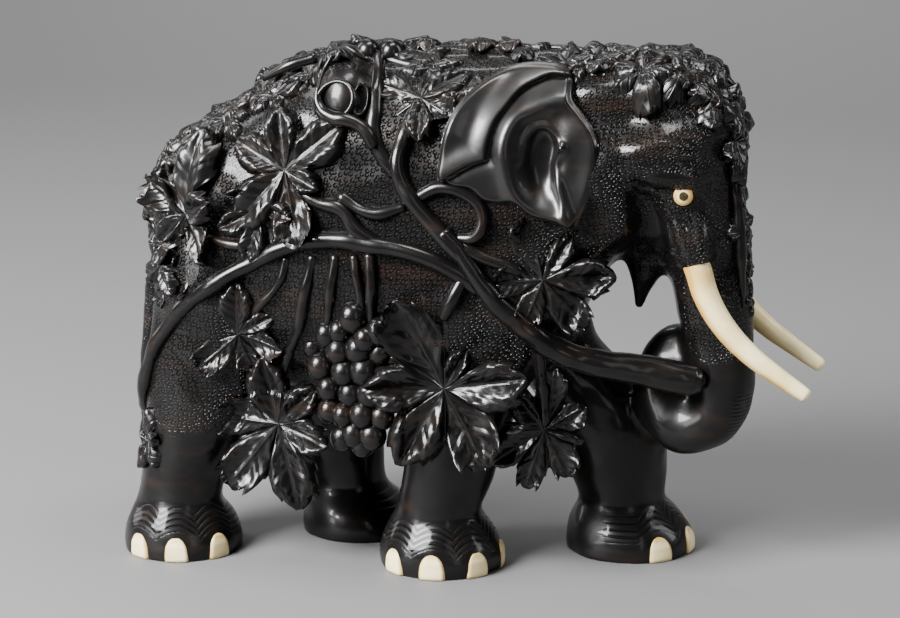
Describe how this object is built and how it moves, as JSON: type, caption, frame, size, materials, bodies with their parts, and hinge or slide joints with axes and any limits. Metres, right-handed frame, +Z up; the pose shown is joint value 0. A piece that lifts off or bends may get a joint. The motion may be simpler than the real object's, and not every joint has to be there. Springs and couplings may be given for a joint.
{
  "type": "elephant carving",
  "caption": "Carved ebony elephant, walking with its trunk curled round a vine, wrapped in vines, vine leaves and grapes, with ivory-coloured tusks, eyes and toenails.",
  "frame": {"origin": "middle of the bounding box, on the ground under the feet", "axes": "+X forward, the way that the elephant walks; +Y to its left; +Z up"},
  "size_m": [0.2978, 0.113, 0.2249],
  "materials": {
    "ebony": "polished near-black ebony with punched skin texture",
    "ivory": "polished ivory colour, yellow-brown at the edges",
    "horn": "polished dark horn"
  },
  "bodies": {
    "root": {"elephant_carving": "ebony", "tusk_right": "ivory", "tusk_left": "ivory", "eye_right": "ivory", "eye_left": "ivory", "pupil_right": "horn", "pupil_left": "horn", "nail_front_right_1": "ivory", "nail_front_right_2": "ivory", "nail_front_right_3": "ivory", "nail_front_right_4": "ivory", "nail_front_right_5": "ivory", "nail_front_left_1": "ivory", "nail_front_left_2": "ivory", "nail_front_left_3": "ivory", "nail_front_left_4": "ivory", "nail_front_left_5": "ivory", "nail_rear_right_1": "ivory", "nail_rear_right_2": "ivory", "nail_rear_right_3": "ivory", "nail_rear_left_1": "ivory", "nail_rear_left_2": "ivory", "nail_rear_left_3": "ivory"}
  },
  "joints": []
}
